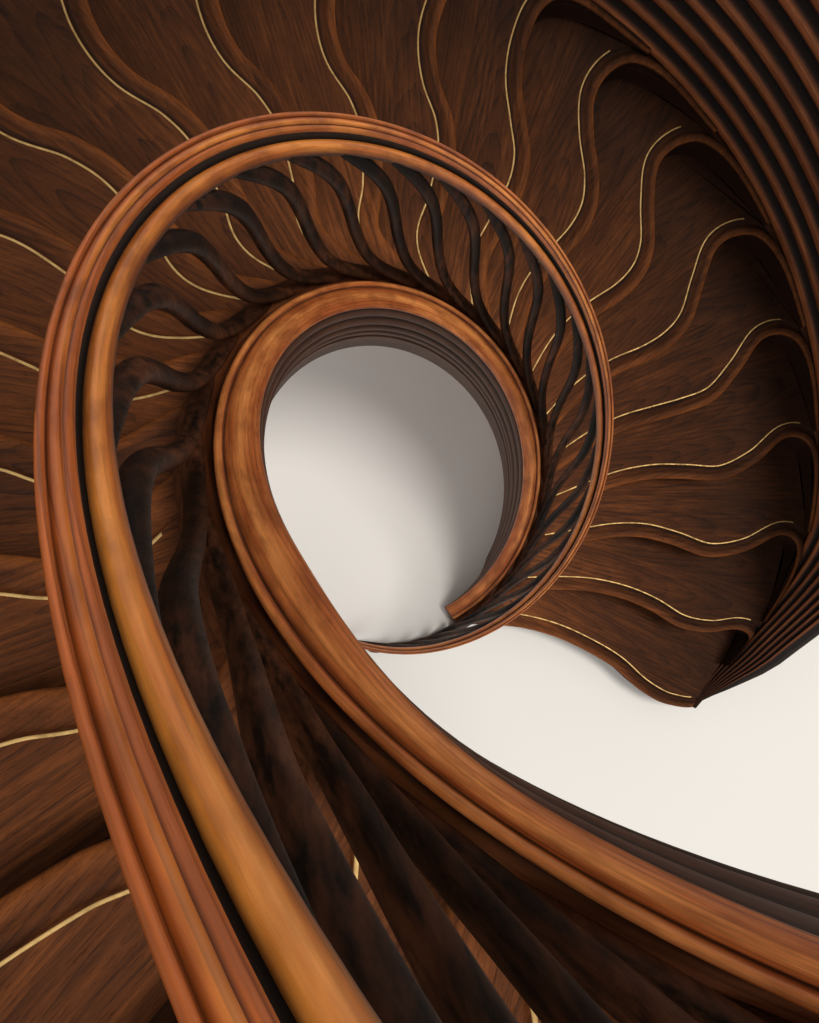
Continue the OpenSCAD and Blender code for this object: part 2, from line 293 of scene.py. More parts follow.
def oak(name, deep, body, bright, soot_and_shade, rings=80, tilt=0.07, wobble=0.05, plank=ONE_BOARD,
        gloss=0.32, coat=0.2, pore=0.35, bump=0.25, wall_shade=0.0, mottle=0.0, shine=0.4):
    """Four colours from early wood to old dirt and painted shade, rings per metre, and how it is
    polished.
    """
    f = Finish(name)
    grain = f.node("ShaderNodeAttribute", {"attribute_name": "grain"}, out="Vector")
    board, stain, wear = (f.node("ShaderNodeAttribute", {"attribute_name": n}, out="Fac")
                          for n in ("board", "stain", "wear"))
    split = f.node("ShaderNodeSeparateXYZ", {}, Vector=grain).socket.node.outputs
    along, across, depth = (Value(f, socket) for socket in split)

    # Each plank of a glued board has its own luck, which moves and tints its pattern.
    strip = f.math("FLOOR", across * (1 / plank) + 0.5)
    luck = f.node("ShaderNodeTexWhiteNoise", {"noise_dimensions": "1D"}, strip * 3.7 + board * 1.3)
    shift = f.node("ShaderNodeCombineXYZ", {}, board * 7.3 + luck * 5, board * 3.1, luck * 9)

    def figure(scale, *how):
        return f.noise(f.stretch(grain, scale, shift), 1.0, *how)

    # Growth rings: the distance from the heart, bent a little, counted off in years.
    swirl = figure((0.9, 4.0, 4.0), 2.5, 0.5) - 0.5
    ripple = figure((5, 30, 30), 2.0, 0.5) - 0.5
    aside = across - strip * plank + (luck - 0.5) * 0.08
    lift = depth + HEART + (along + luck * 2 - 1) * tilt + swirl * wobble
    ring = f.math("FRACT", (aside * aside + lift * lift) ** 0.5 * rings + ripple * 0.6)
    late = ring * ring * ring

    # Fibres, pores and streaks are noise stretched along the board.
    fibre = figure((9, 320, 320), 3.0, 0.6)
    pores = f.ramp(figure((45, 650, 650), 1.0), 0.58, 0.70)
    patch = figure((2.2, 7.0, 7.0), 3.0, 0.6)
    streak = f.ramp(figure((4, 90, 90), 3.0, 0.65), 0.38, 0.66)

    # Colour, from the wood itself to wear and painted highlights, clouds, pores and the stain and
    # painted shade on top of it all.
    tone = f.ramp(fibre, 0.32, 0.68) * 0.45 + (1 - late) * 0.55 - (luck - 0.5) * 0.35
    colour = f.blend(tone, deep, body)
    colour = f.blend(streak * f.ramp(patch, 0.38, 0.66) * 0.7, colour, bright)
    colour = f.blend(wear * f.ramp(patch, 0.25, 0.6) * (streak * 0.5 + 0.5), colour, bright)
    if mottle:
        cloud = f.ramp(figure((10, 34, 34), 3.0, 0.6), 0.44, 0.66)
        colour = f.blend(cloud * mottle, colour, deep)
    colour = f.blend((pores * 0.8 + late * 0.2) * pore, colour, soot_and_shade)
    dark = stain
    # Treads get painted shade: darker from WALL_SHADE_FROM out to the wall, less so on the worn
    # lip, and darker in the corner by the string.
    if wall_shade:
        spot = f.node("ShaderNodeTexCoord", {}, out="Object")
        out = f.node("ShaderNodeVectorMath", {"operation": "SUBTRACT"}, spot, (AXIS_X, 0, 0))
        out = f.node("ShaderNodeVectorMath", {"operation": "MULTIPLY"}, out, (1, 1, 0))
        far = f.node("ShaderNodeVectorMath", {"operation": "LENGTH"}, out, out="Value")
        corner = f.ramp(far, *STRING_SHADE) * 0.85
        painted_wall_shade = wall_shade * (1 - wear * 0.4)
        dark = f.math("MAXIMUM", corner, f.ramp(far, WALL_SHADE_FROM, WALL_R) ** 0.5 * painted_wall_shade)
        dark = f.math("MAXIMUM", stain, dark)
    colour = f.blend(dark, colour, soot_and_shade)

    # Pores and fibres can be felt, and dark places are duller.
    height = fibre * 0.5 - late * 0.25 - pores * 0.8
    relief = f.node("ShaderNodeBump", {}, Strength=bump, Distance=0.001, Height=height)
    f.set(Base_Color=colour, Roughness=gloss + fibre * 0.2 + pores * 0.15 + dark * 0.2,
          Normal=relief, Coat_Weight=(1 - dark) * coat if coat else 0.0, Coat_Roughness=0.25)
    f.shader.inputs["Specular IOR Level"].default_value = shine
    return f.material


rail_oak = oak("rail_oak", srgb(122, 56, 16), srgb(214, 108, 36), srgb(255, 164, 72),
               srgb(18, 11, 8), rings=150, tilt=0.02, gloss=0.30, coat=0.2, pore=0.08,
               bump=0.1, mottle=0.6, shine=0.35)
string_oak = oak("string_oak", srgb(112, 52, 23), srgb(202, 105, 50), srgb(255, 166, 92),
                 srgb(22, 16, 12), rings=130, tilt=0.03, gloss=0.32, coat=0.2, pore=0.15,
                 bump=0.12, mottle=0.5, shine=0.35)
tread_oak = oak("tread_oak", srgb(48, 24, 9), srgb(112, 59, 24), srgb(170, 96, 44),
                srgb(16, 10, 7), rings=75, tilt=0.085, wobble=0.07, plank=0.21, gloss=0.50,
                coat=0.0, pore=0.5, wall_shade=0.85, mottle=0.3, shine=0.14)
riser_oak = oak("riser_oak", srgb(24, 12, 7), srgb(46, 25, 14), srgb(70, 40, 24),
                srgb(12, 8, 6), rings=90, wobble=0.06, gloss=0.55, coat=0.0, shine=0.15)
dark_oak = oak("dark_oak", srgb(9, 6, 4), srgb(18, 12, 8), srgb(112, 64, 40),
               srgb(4, 3, 3), rings=150, tilt=0.02, gloss=0.40, coat=0.0, pore=0.0,
               bump=0.06, shine=0.10)
wall_oak = oak("wall_oak", srgb(72, 35, 18), srgb(136, 74, 42), srgb(184, 112, 68),
               srgb(6, 5, 5), rings=120, tilt=0.02, gloss=0.40, coat=0.06, pore=0.3,
               mottle=0.3, shine=0.25)
print("finishes:", [m.name for m in bpy.data.materials])

# %% [markdown]
# The inlay is polished brass, a little scratched by shoes and darker where dirt stays.

# %% Brass finish
f = Finish("brass")
place = f.node("ShaderNodeTexCoord", {}, out="Object")
dirt = f.ramp(f.noise(place, 34.0, 3.0, 0.6), 0.42, 0.7)
scratch = f.noise(f.stretch(place, (90, 90, 400)), 1.0, 2.0)
f.set(Base_Color=f.blend(dirt * 0.6, srgb(200, 166, 108), srgb(126, 94, 54)),
      Metallic=0.8, Roughness=0.40 + scratch * 0.2 + dirt * 0.15)
brass = f.material
print("brass nodes:", len(f.nodes))

# %% [markdown]
# Rails and strings are one section carried round the well. On the bench such a rail is
# laminated on a drum. Here the Screw modifier does the same: a ring of edges with the shape of
# the section is screwed about the axis, and each degree lifts it by the same height. The
# modifier leaves both ends open, so they are filled, and faces are turned outwards.

# %% The screw helper
FINE_TURN = 2.0
MID_LEVEL = 0.35


def helix(name, section, start, end):
    """Screws a closed section of (radius, height) points from one turn to another."""
    deselect()
    bpy.ops.mesh.primitive_circle_add(vertices=len(section), radius=0.1, fill_type="NOTHING")
    piece = bpy.context.active_object
    piece.name = name
    a = math.radians(start)
    for vertex, (r, v) in zip(piece.data.vertices, section):
        vertex.co = (r * math.cos(a), r * math.sin(a), v + climb(start))
    screw = piece.modifiers.new("climb", "SCREW")
    screw.angle = math.radians(end - start)
    screw.screw_offset = climb(end - start)
    screw.steps = screw.render_steps = math.ceil((end - start) / FINE_TURN)
    bpy.ops.object.modifier_apply(modifier="climb")
    bpy.ops.object.mode_set(mode="EDIT")
    bpy.ops.mesh.select_all(action="SELECT")
    bpy.ops.mesh.fill_holes(sides=0)
    bpy.ops.mesh.select_all(action="SELECT")
    bpy.ops.mesh.normals_make_consistent(inside=False)
    bpy.ops.object.mode_set(mode="OBJECT")
    piece.location.x = AXIS_X
    bpy.ops.object.transform_apply(location=True, rotation=False, scale=False)
    return piece


def points(piece):
    """The piece's points as an array with a row for each."""
    co = np.empty(len(piece.data.vertices) * 3)
    piece.data.vertices.foreach_get("co", co)
    return co.reshape(-1, 3)


def polar(co):
    """Radius, turn and height over the nosing line of each point.

    The angle alone doesn't tell one storey from the next, but the height does: every
    section lies about MID_LEVEL above the nosing line.
    """
    x, y = co[:, 0] - AXIS_X, co[:, 1]
    turn = np.degrees(np.arctan2(y, x))
    level = co[:, 2] - climb(turn)
    turn = turn + 360 * np.round((level - MID_LEVEL) / climb(360))
    return np.hypot(x, y), turn, co[:, 2] - climb(turn)


def put_points(piece, r, turn, z):
    """Moves every point to a radius, a turn and a height over the floor."""
    a = np.radians(turn)
    co = np.stack([AXIS_X + r * np.cos(a), r * np.sin(a), z], 1)
    piece.data.vertices.foreach_set("co", co.ravel())
    piece.data.update()


def paint(piece, grain, stain, wear, board=0.0):
    """Stores the wood's own coordinates on the points, with its stains and painted shade, and its
    wear and painted highlights.
    """
    count = len(piece.data.vertices)
    layer = piece.data.attributes.new("grain", "FLOAT_VECTOR", "POINT")
    layer.data.foreach_set("vector", np.broadcast_to(grain, (count, 3)).astype(float).ravel())
    for name, values in (("stain", stain), ("wear", wear), ("board", board)):
        layer = piece.data.attributes.new(name, "FLOAT", "POINT")
        layer.data.foreach_set("value", np.broadcast_to(values, count).astype(float).copy())


def pick(piece):
    """Selects one piece and makes it the active one."""
    deselect()
    piece.select_set(True)
    bpy.context.view_layer.objects.active = piece


def finish(piece, material, slot_name, *nodes, smooth=40):
    """Gives a piece its material and smooth shading, and hides the solids that it stands for."""
    piece.data.materials.append(material)
    pick(piece)
    bpy.ops.object.shade_smooth_by_angle(angle=math.radians(smooth))
    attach(piece, "root")
    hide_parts(*nodes)


def along_rail(r, turn, v, radius):
    """Grain that follows a rail: along its slope, out from the well, and up."""
    slope = math.atan2(climb(1), math.radians(1) * radius)
    return np.stack([np.radians(turn) * radius / math.cos(slope), r, v * math.cos(slope)], 1)


# %% [markdown]
# Treads, risers, brass strips and balusters aren't swept round the well. They are stacked:
# a filled ring of points is extruded again and again, and each new ring is moved to its
# place before the next one is made, as with the E key and then G.

# %% The stack helper


def stack(name, rings):
    """Extrudes a first ring of points through the others. All have the same count."""
    deselect()
    bpy.ops.mesh.primitive_circle_add(vertices=len(rings[0]), radius=1, fill_type="NGON")
    piece = bpy.context.active_object
    piece.name = name
    for vertex, place in zip(piece.data.vertices, rings[0]):
        vertex.co = place
    bpy.ops.object.mode_set(mode="EDIT")
    bpy.ops.mesh.select_all(action="SELECT")
    mesh = bmesh.from_edit_mesh(piece.data)
    order = {tuple(v.co): i for i, v in enumerate(mesh.verts)}
    for ring in rings[1:]:
        bpy.ops.mesh.extrude_region_move()
        mesh = bmesh.from_edit_mesh(piece.data)
        placed = {}
        for vertex in [v for v in mesh.verts if v.select]:
            i = order[tuple(vertex.co)]
            vertex.co = ring[i]
            placed[tuple(vertex.co)] = i
        order = placed
    bmesh.update_edit_mesh(piece.data)
    bpy.ops.mesh.select_all(action="SELECT")
    bpy.ops.mesh.normals_make_consistent(inside=False)
    bpy.ops.object.mode_set(mode="OBJECT")
    return piece


def joined(name, pieces):
    pick(pieces[0])
    for piece in pieces:
        piece.select_set(True)
    bpy.ops.object.join()
    pieces[0].name = name
    return pieces[0]


# %% [markdown]
# The handrail's main member is slender and tall. Three ridges step down it from the stair
# side to the well side: a narrow one, a bright one that hands polish and that also carries
# a painted highlight, and a broad one. Each ridge is an arc. Painted shade darkens the
# valleys between the arcs, dims the broad and the narrow ridge, and darkens the stair side
# and the web below. Under the ridges the section narrows to a thin web, which reaches down
# to the lower member. At the foot the rail sweeps down to the floor, where `bisect` cuts it
# level.

# %% Handrail
RAIL_START = -84.0
CUT_SNAP = 0.0000001  # so fine that no point is pulled below the floor


def cut_at_floor(piece):
    pick(piece)
    bpy.ops.object.mode_set(mode="EDIT")
    bpy.ops.mesh.select_all(action="SELECT")
    bpy.ops.mesh.bisect(plane_co=(0, 0, 0), plane_no=(0, 0, 1), use_fill=True,
                        clear_inner=True, clear_outer=False, threshold=CUT_SNAP)
    bpy.ops.object.mode_set(mode="OBJECT")


def bow(centre, across, up, start, end, count):
    """Points on an oval arc. The angles start at the stair side and turn upwards."""
    turns = [math.radians(mix(start, end, i / (count - 1))) for i in range(count)]
    return [(centre[0] + across * math.cos(a), centre[1] + up * math.sin(a)) for a in turns]


c, t = RAIL_R, RAIL_RISE  # the middle of the rail and its top
RAIL_VALLEYS = [(c + 0.0046, t - 0.0128), (c - 0.0004, t - 0.0288)]
rail_section = (  # up the web, over the three ridges and down the stair side
    [(c - 0.0030, t - 0.0900), (c + 0.0002, t - 0.0760), (c + 0.0008, t - 0.0620)]
    + bow((c + 0.0014, t - 0.0405), 0.0070, 0.0122, 262, 118, 14)
    + [RAIL_VALLEYS[1]] + bow((c + 0.0016, t - 0.0195), 0.0048, 0.0082, 208, 76, 11)
    + [RAIL_VALLEYS[0]] + bow((c + 0.0064, t - 0.0082), 0.0031, 0.0080, 148, -20, 11)
    + [(c + 0.0096, t - 0.0200), (c + 0.0095, t - 0.0330), (c + 0.0082, t - 0.0450),
       (c + 0.0060, t - 0.0560), (c + 0.0044, t - 0.0700), (c + 0.0006, t - 0.0900)])
handrail = helix("handrail_top_member", rail_section[::-1], RAIL_START, END_TURN)
r, turn, v = polar(points(handrail))
wide_valley, thin_valley = (np.hypot(r - x, v - y) for x, y in RAIL_VALLEYS)
well_ridge = soft_step((t - 0.0300 - v) / 0.002) * (r < c + 0.004)
outer_ridge = soft_step((r - c - 0.0050) / 0.001)
stair_side = soft_step((r - c - 0.0088) / 0.001)
under_ridges = soft_step((t - 0.0435 - v) / 0.010)
# Painted shade on the valleys, the broad and narrow ridges, the stair side and the web; a painted
# highlight, with some polish, on the bright ridge.
rail_painted_shade = np.maximum.reduce([
    0.62 * fade(wide_valley, 0.0060), 0.7 * fade(thin_valley, 0.0034),
    0.14 * well_ridge, 0.22 * outer_ridge, 0.6 * stair_side, under_ridges])
polish_and_highlight = fade(np.hypot(r - c + 0.0020, v - t + 0.0170), 0.0075)
paint(handrail, along_rail(r, turn, v, RAIL_R), rail_painted_shade,
      np.clip(polish_and_highlight * 2.2 - rail_painted_shade, 0, 1))
cut_at_floor(handrail)
finish(handrail, rail_oak, "rail_oak", "handrail")
print("handrail points:", len(handrail.data.vertices))

# %% [markdown]
# The lower member is a slim oval bar under a deep narrow gap. It stands on edge and carries
# the heads of the balusters. It hangs from a thin web. Painted shade darkens the gap and the
# well side of the oval, and a painted highlight runs along its top.

# %% Lower rail
LOWER_R = RAIL_R - 0.0085
LOWER_V = RAIL_RISE - 0.0960
LOWER_HALF = (0.0098, 0.0255)
LOWER_POINTS = 24
lower_section = bow((LOWER_R, LOWER_V), *LOWER_HALF, 0, 360 - 360 / LOWER_POINTS, LOWER_POINTS)
lower_rail = helix("handrail_lower_member", lower_section, RAIL_START, END_TURN)
r, turn, v = polar(points(lower_rail))
across, up = (r - LOWER_R) / LOWER_HALF[0], (v - LOWER_V) / LOWER_HALF[1]
# Painted shade in the gap and on the well side, a painted highlight along the top.
in_gap = soft_step((across - 0.75) / 0.2)
well_side = 0.48 * soft_step((0.75 - up) / 0.9) + 0.46 * soft_step((0.05 - up) / 0.6)
shaded = np.maximum(in_gap, well_side)
paint(lower_rail, along_rail(r, turn, v, LOWER_R), shaded * 0.97,
      0.7 * fade(np.abs(up - 0.75), 0.6) * (1 - shaded), board=3.0)
cut_at_floor(lower_rail)
finish(lower_rail, rail_oak, "rail_oak", "lower_rail")
print("lower rail points:", len(lower_rail.data.vertices))

# %% [markdown]
# The inner string carries a broad polished band with a raised bead on its stair side. Its
# well face is worked with hollows between flat fillets and leans away from the well as it
# goes down. Towards the head of the flight the band grows narrower from its well side. At
# the floor all the mouldings gather: points are lowered by a share of the height that is
# left, so none falls below the floor.

# %% Inner string
BAND_OUT = WELL_R + BAND_W
HEAD_FROM, HEAD_OVER = 250, 35  # the turns where the band grows narrower
HEAD_BACK = 0.033
FACE_LEAN = 0.040
HOLLOW = 0.011
FILLETS = [-0.113, -0.033, 0.047, 0.127, 0.207]
FILLET_POINTS = 9


def gathered(v, turn, top):
    """The height of a moulding that closes up towards the floor with all the others."""
    full = top + STRING_DROP
    here = np.minimum(full, climb(turn) + top)
    return climb(turn) + top - (top - v) * here / full


def drawn_back(r, turn, v):
    """Narrows the band towards the head of the flight, and leans the well face."""
    head = soft_step((turn - HEAD_FROM) / HEAD_OVER)
    edge = BAND_W - 0.012
    share = np.clip((WELL_R + edge - r) / edge, 0, 1)
    lean = np.clip((0.035 - v) / 0.30, 0, 1) * (FACE_LEAN + FACE_LEAN * head)
    well_side = np.clip((WELL_R + 0.04 - r) / 0.02, 0, 1)
    return r + HEAD_BACK * head * share + lean * well_side


def fillet(low, high):
    """One round fillet of the well face, with half a hollow below and above it."""
    return [(WELL_R + HOLLOW * (1 - math.sin(math.pi * i / FILLET_POINTS)) ** 1.7,
             mix(low, high, i / FILLET_POINTS)) for i in range(FILLET_POINTS)]


b = BAND_OUT
BEAD_VALLEY = (b - 0.0165, 0.2335)
string_section = (  # up the well face, over the band and its bead, and down at the ledge
    [(WELL_R, -STRING_DROP), (WELL_R, -0.20), (WELL_R, -0.130)]
    + [q for low, high in zip(FILLETS, FILLETS[1:]) for q in fillet(low, high)]
    + [(WELL_R + HOLLOW, 0.207), (WELL_R + 0.003, 0.213), (WELL_R + 0.0010, 0.222),
       (WELL_R + 0.0025, 0.2315), (WELL_R + 0.0070, 0.2390), (WELL_R + 0.0140, 0.2440),
       (WELL_R + 0.0230, 0.2473), (WELL_R + 0.0330, 0.2485), (WELL_R + 0.0420, 0.2475),
       (WELL_R + 0.0495, 0.2440), (WELL_R + 0.0555, 0.2390), BEAD_VALLEY]
    + bow((b - 0.0078, 0.2400), 0.0070, 0.0100, 200, -30, 9)
    + [(b - 0.0005, 0.230), (b - 0.004, 0.222), (b + 0.002, 0.212), (b + 0.010, 0.200),
       (b + 0.022, 0.1935), (b + 0.040, 0.1930), (LEDGE_R - 0.006, 0.1925),
       (LEDGE_R - 0.001, 0.188), (LEDGE_R, 0.180), (LEDGE_R, -0.06),
       (LEDGE_R, -STRING_DROP)])
inner_string = helix("inner_string", string_section[::-1], STRING_START, END_TURN)
r, turn, v = polar(points(inner_string))
# Painted shade darkens the well face and its hollows, the ledge under the balusters, the valley
# behind the bead and the band's inner edge. Painted highlights light the bead and the band's
# crest.
on_band = soft_step((v - 0.214) / 0.010) * soft_step((b + 0.001 - r) / 0.002)
in_hollow = soft_step((r - WELL_R - 0.001) / 0.008) * (v < 0.212) * (r < WELL_R + 0.03)
by_ledge = soft_step((r - WELL_R - 0.04) / 0.01) * (v < 0.215)
valley = fade(np.hypot(r - BEAD_VALLEY[0], v - BEAD_VALLEY[1]), 0.009)
inner_edge = soft_step((WELL_R + 0.016 - r) / 0.012) * on_band
on_ledge = soft_step((r - b) / 0.004)
stain = np.clip((1 - on_band) * (0.86 - 0.18 * on_ledge) + in_hollow * 0.30
                + by_ledge * (1 - on_ledge) * 0.35 + valley * 0.85 + inner_edge * 0.12, 0, 0.95)
crest = fade(np.abs(r - WELL_R - 0.031), 0.016)
bead = fade(np.hypot(r - b + 0.0078, v - 0.2500), 0.008)
paint(inner_string, along_rail(r, turn, v, WELL_R + 0.04), stain,
      np.clip(bead + 1.1 * crest * on_band - valley, 0, 1))
put_points(inner_string, drawn_back(r, turn, v), turn, gathered(v, turn, BAND_RISE))
finish(inner_string, string_oak, "string_oak", "inner_string_low", "inner_string_high")
print("inner string points:", len(inner_string.data.vertices))

# %% [markdown]
# Each nosing line is a free wave. It is held as control points, a share of the walking
# width and a turn in degrees, and a smooth curve runs through them. The wave changes from
# the first tread to the upper ones, so each tread blends two neighbouring sets. Lines at a
# distance behind the nosing's edge give the lip, the cove, the brass and the riser.

# %% Nosing lines
MID_R = (LEDGE_R + WALL_R) / 2
TAIL_DROP = 0.11
TAIL_BEHIND = 4  # degrees behind the nosing where the tail begins to come down
TAIL_REACH = 15
TAIL_R = 1.90
END_GAP = 0.002
TREAD_IN = LEDGE_R + PLAY
TREAD_OUT = WALL_R - PLAY
NOSE_FIRST = [
    (-0.044, -32), (0.029, -20.5), (0.103, -14), (0.176, -10), (0.279, -7.1), (0.404, -5.8),
    (0.537, -5.6), (0.691, -6.5), (0.824, -6.4), (0.912, -5.6), (0.971, -4.8), (1.007, -4.1),
    (1.03, -3.9)]
NOSE_THIRD = [
    (-0.044, -17), (0.029, -12), (0.118, -8.6), (0.206, -6.1), (0.294, -4.4), (0.397, -3.9),
    (0.507, -5.0), (0.64, -6.6), (0.779, -5.1), (0.9, -2.2), (0.968, -2.8), (0.99, -6),
    (0.992, -15)]
NOSE_UPPER = [
    (-0.044, -15.5), (0.029, -11), (0.118, -8), (0.206, -6.7), (0.309, -7.2), (0.419, -8.7),
    (0.515, -8.5), (0.603, -6.4), (0.706, -2.2), (0.82, 0.7), (0.93, -0.4), (0.98, -4),
    (0.992, -15)]
NOSE_HIGH = [
    (-0.044, -15.5), (0.029, -10.5), (0.105, -5.5), (0.165, -4), (0.245, -6.3), (0.37, -7.7),
    (0.47, -6.9), (0.575, -4.7), (0.69, -4.9), (0.82, -7.2), (0.93, -8.4), (0.98, -11.5),
    (0.992, -20)]


def nose_control(n):
    """Blends the sets that stand for tread 1, tread 3, tread 7, and tread 11 and above."""
    sets = [np.array(line) for line in (NOSE_FIRST, NOSE_THIRD, NOSE_UPPER, NOSE_HIGH)]
    if n < 3:
        return mix(sets[0], sets[1], (n - 1) / 2)
    if n < 7:
        return mix(sets[1], sets[2], soft_step((n - 3) / 4))
    return mix(sets[2], sets[3], soft_step((n - 7) / 4))


def smooth_curve(control, fine=12):
    """A Catmull-Rom curve, which runs through each of its control points."""
    last = len(control) - 1
    made = []
    for i in range(last):
        p0, p1 = control[max(0, i - 1)], control[i]
        p2, p3 = control[i + 1], control[min(last, i + 2)]
        for t in np.arange(fine) / fine:
            made.append(0.5 * (2 * p1 + (p2 - p0) * t + (2 * p0 - 5 * p1 + 4 * p2 - p3) * t * t
                               + (3 * p1 - p0 - 3 * p2 + p3) * t ** 3))
    return np.array(made + [control[last]])


def nose_line(n, back, count, inner=TREAD_IN, outer=TREAD_OUT - END_GAP):
    """Radius and turn of `count` points on the line `back` metres behind nosing n."""
    q = smooth_curve(nose_control(n))
    a = np.radians(q[:, 1] + n * TREAD_TURN)
    line = mix(LEDGE_R, WALL_R, q[:, 0])[:, None] * np.stack([np.cos(a), np.sin(a)], 1)
    run = np.gradient(line, axis=0)
    line = line + back * np.stack([-run[:, 1], run[:, 0]], 1) / np.hypot(*run.T)[:, None]
    r = np.hypot(*line.T)
    first = np.where(r < inner)[0].max()
    start = first + (inner - r[first]) / (r[first + 1] - r[first])
    at = np.linspace(start, len(line) - 1, count)
    x, y = (np.interp(at, np.arange(len(line)), line[:, k]) for k in (0, 1))
    turn = np.degrees(np.arctan2(y, x))
    turn += 360 * np.round((n * TREAD_TURN - turn) / 360)
    return np.stack([np.clip(np.hypot(x, y), inner, outer), turn], 1)


def opened(turn):
    """0 where the outer wall is gathered at its foot, 1 along the run."""
    return soft_step((turn - WALL_START) / FOOT_OPENS)


def plan(line):
    """Plane points of a line, drawn in where the foot of the wall is drawn in."""
    r, turn = line[:, 0], line[:, 1]
    r = r - FOOT_DENT * (1 - opened(turn)) * np.clip((r - MID_R) / (WALL_R - MID_R), 0, 1)
    a = np.radians(turn)
    return np.stack([AXIS_X + r * np.cos(a), r * np.sin(a)], 1)


def tail_drop(line, n):
    """How far a nosing has come down where it runs on along the wall as a tail."""
    back_turn = n * TREAD_TURN - TAIL_BEHIND - line[:, 1]
    return TAIL_DROP * soft_step(back_turn / TAIL_REACH) * soft_step((line[:, 0] - TAIL_R) / 0.04)


def arc_line(r, start, end, count):
    """Points on a circle between two turns, without its ends."""
    turns = np.linspace(start, end, count + 2)[1:-1]
    return np.stack([np.full(count, r), turns], 1)


# %% [markdown]
# A tread is one board with a worked front. From below, its edge swells into a rounded lip,
# then a shallow cove runs behind the lip and rises again to the brass and the flat. The
# cove fades out towards the string, and the tail's end is tucked under the outer wall. Each
# step of `NOSING` is a distance behind the edge and a depth below the top, and becomes one
# ring of the stack.

# %% Treads
# The stain column paints shade under the lip and in the cove. The wear column is shoe wear on the
# lip and a painted highlight along its rim.
NOSING = [  # distance behind the edge, depth below the top, stain, wear
    (0.0200, -0.0400, 0.95, 0.0), (0.0120, -0.0385, 0.92, 0.0), (0.0055, -0.0350, 0.85, 0.0),
    (0.0018, -0.0295, 0.70, 0.0), (0.0002, -0.0230, 0.35, 0.2), (0.0008, -0.0165, 0.00, 0.9),
    (0.0035, -0.0110, 0.00, 1.0), (0.0080, -0.0070, 0.00, 0.6), (0.0145, -0.0048, 0.00, 0.45),
    (0.0220, -0.0044, 0.00, 0.35), (0.0290, -0.0058, 0.08, 0.0), (0.0355, -0.0088, 0.30, 0.0),
    (0.0420, -0.0124, 0.60, 0.0), (0.0490, -0.0140, 0.82, 0.0), (0.0545, -0.0120, 0.90, 0.0),
    (0.0580, -0.0070, 0.85, 0.0), (0.0600, -0.0020, 0.55, 0.0), (0.0615, 0.0, 0.00, 0.0)]
COVE_TOP = -0.0060
LIP_BACK = 0.0075
LIP_RINGS = 10  # the rings of NOSING before the cove begins
FRONT, WALL_SIDE, BACK, WELL_SIDE = 72, 7, 24, 3
TUCK = 0.026
TUCK_FROM = 0.88
END_SHARE = (np.arange(FRONT) / (FRONT - 1) - TUCK_FROM) / (1 - TUCK_FROM)


def cove_share(r):
    """How much of the cove is there: a quarter at the string, all of it towards the wall."""
    return 0.25 + 0.75 * soft_step((r - 0.70) / 0.6)


def tread_rings(n):
    """The outline of tread n at each step of its nosing, from the underside up."""
    behind = nose_line(n + 1, NOSING_LIP + RISER_THICK, BACK)[::-1]
    for i, (back, depth, _, _) in enumerate(NOSING):
        front = nose_line(n, back, FRONT)
        if back > LIP_BACK:
            depth = max(depth, COVE_TOP) + min(depth - COVE_TOP, 0) * cove_share(front[:, 0])
        level = -TREAD_THICK * (1 - i / (len(NOSING) - 1))
        line = np.concatenate([
            front,
            arc_line(TREAD_OUT, front[-1, 1], behind[0, 1], WALL_SIDE), behind,
            arc_line(TREAD_IN, behind[-1, 1], front[0, 1], WELL_SIDE)])
        z = np.full(len(line), level)
        z[:FRONT] = depth - tail_drop(front, n) - TUCK * soft_step(END_SHARE)
        z[FRONT:FRONT + WALL_SIDE] = np.linspace(z[FRONT - 1], level, WALL_SIDE + 2)[1:-1]
        yield np.column_stack([plan(line), n * RISER + z])


for n in range(1, TREADS + 1):
    rings = list(tread_rings(n))
    tread = stack("tread_board_%02d" % n, rings)
    co = points(tread)
    a = math.radians(n * TREAD_TURN)
    x, y = co[:, 0] - AXIS_X, co[:, 1]
    grain = np.stack([x * math.cos(a) + y * math.sin(a) - MID_R,
                      y * math.cos(a) - x * math.sin(a), co[:, 2] - n * RISER], 1)
    ring, spot = np.divmod(np.arange(len(co)), len(rings[0]))
    # The cove's painted shade fades out with the cove towards the string.
    _, _, stain, wear = np.array(NOSING)[ring].T
    stain = np.where(ring >= LIP_RINGS, stain * cove_share(np.hypot(x, y)), stain)
    at_front = spot < FRONT
    paint(tread, grain, stain * at_front, wear * at_front, board=n)
    finish(tread, tread_oak, "tread_oak", "tread_%02d" % n, smooth=50)
print("tread points:", len(tread.data.vertices))

# %% [markdown]
# A narrow brass strip is let into every tread behind the cove. It stands proud by a hair,
# with its edges eased, and ends short of the string and of the wall.

# %% Brass strips
BRASS_BACK, BRASS_W, BRASS_T = 0.062, 0.006, 0.004
BRASS_IN, BRASS_OUT = LEDGE_R + 0.060, WALL_R - 0.050
BRASS_EDGE = ((0, -BRASS_T), (0, 0.0004), (0.0006, 0.0011), (0.0018, 0.0014))
BRASS_POINTS = 90
FAR_OUT = 9


def brass_rings(n):
    """A strip from the bottom of its groove up, the last two rings with eased edges."""
    for ease, z in BRASS_EDGE:
        sides = [nose_line(n, back, BRASS_POINTS, BRASS_IN, FAR_OUT)
                 for back in (BRASS_BACK + ease, BRASS_BACK + BRASS_W - ease)]
        keep = int(min(np.argmax(np.append(s[:, 0], FAR_OUT) > BRASS_OUT) for s in sides))
        line = np.concatenate([sides[0][:keep], sides[1][:keep][::-1]])
        yield np.column_stack([plan(line), n * RISER + z - tail_drop(line, n)])


def even_rings(n):
    """Rings for the stack, which wants the same count of points in each."""
    rings = list(brass_rings(n))
    count = min(len(ring) for ring in rings) // 2
    return [np.concatenate([ring[:count], ring[-count:]]) for ring in rings]


strips = joined("brass_strips", [stack("strip", even_rings(n)) for n in range(1, TREADS + 1)])
finish(strips, brass, "brass", "brass_inlays", smooth=30)
print("brass points:", len(strips.data.vertices))

